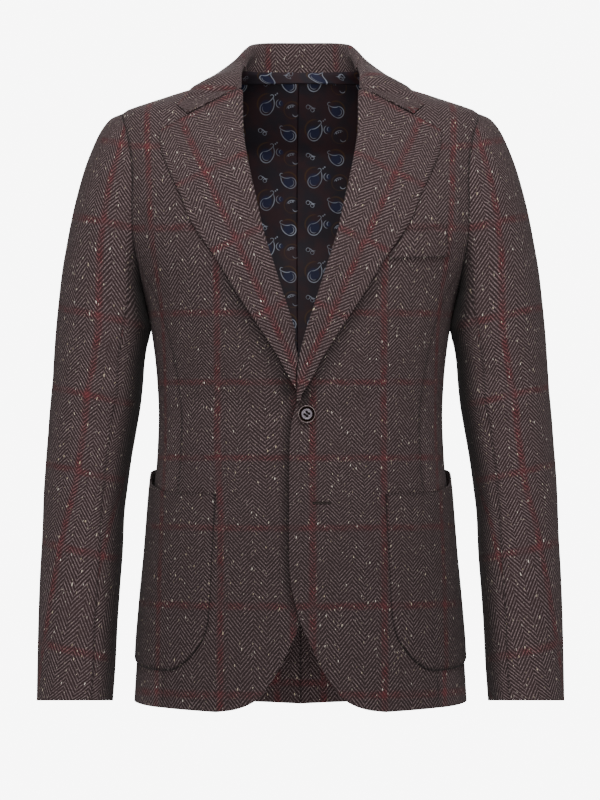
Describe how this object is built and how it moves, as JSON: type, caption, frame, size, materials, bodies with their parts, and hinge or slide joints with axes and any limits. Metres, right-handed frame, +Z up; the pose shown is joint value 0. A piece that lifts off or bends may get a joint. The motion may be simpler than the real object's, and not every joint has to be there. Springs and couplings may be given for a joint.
{
  "type": "two-button blazer with notch lapels and patch pockets",
  "caption": "Single-breasted tweed blazer, herringbone with a red windowpane check, notch lapels, chest welt and patch hip pockets, hollow and hanging as worn, fastened at the waist.",
  "frame": {"origin": "on the centre line between the neck points, level with the collar's sides, where the wearer's shoulders and neck hold it", "axes": "+X to the wearer's left, -Y out of the front, +Z up"},
  "size_m": [0.6126, 0.2717, 0.7854],
  "materials": {
    "front_left": "brown herringbone wool tweed with a red windowpane check",
    "front_right": "brown herringbone wool tweed with a red windowpane check",
    "side_left": "brown herringbone wool tweed with a red windowpane check",
    "side_right": "brown herringbone wool tweed with a red windowpane check",
    "back_left": "brown herringbone wool tweed with a red windowpane check",
    "back_right": "brown herringbone wool tweed with a red windowpane check",
    "sleeve_left_top": "brown herringbone wool tweed with a red windowpane check",
    "sleeve_left_under": "brown herringbone wool tweed with a red windowpane check",
    "sleeve_right_top": "brown herringbone wool tweed with a red windowpane check",
    "sleeve_right_under": "brown herringbone wool tweed with a red windowpane check",
    "pocket_left": "brown herringbone wool tweed with a red windowpane check",
    "pocket_right": "brown herringbone wool tweed with a red windowpane check",
    "pocket_chest": "brown herringbone wool tweed with a red windowpane check",
    "lapel_left": "brown herringbone wool tweed with a red windowpane check, grain turned with the piece",
    "lapel_right": "brown herringbone wool tweed with a red windowpane check, grain turned with the piece",
    "collar_leaf": "brown herringbone wool tweed with a red windowpane check, grain turned with the piece",
    "collar_stand": "brown herringbone wool tweed with a red windowpane check, grain turned with the piece",
    "lining_left": "smooth near-black lining with a woven paisley",
    "lining_right": "smooth near-black lining with a woven paisley",
    "lining_band": "smooth near-black lining with a woven paisley",
    "button": "dark brown, horn-like, satin"
  },
  "bodies": {
    "root": {"front_left": "front_left", "front_right": "front_right", "side_left": "side_left", "side_right": "side_right", "back_left": "back_left", "back_right": "back_right", "sleeve_left_top": "sleeve_left_top", "sleeve_left_under": "sleeve_left_under", "sleeve_right_top": "sleeve_right_top", "sleeve_right_under": "sleeve_right_under", "pocket_left": "pocket_left", "pocket_right": "pocket_right", "pocket_chest": "pocket_chest", "lapel_left": "lapel_left", "lapel_right": "lapel_right", "collar_leaf": "collar_leaf", "collar_stand": "collar_stand", "lining_left": "lining_left", "lining_right": "lining_right", "lining_band": "lining_band", "button": "button"}
  },
  "joints": []
}
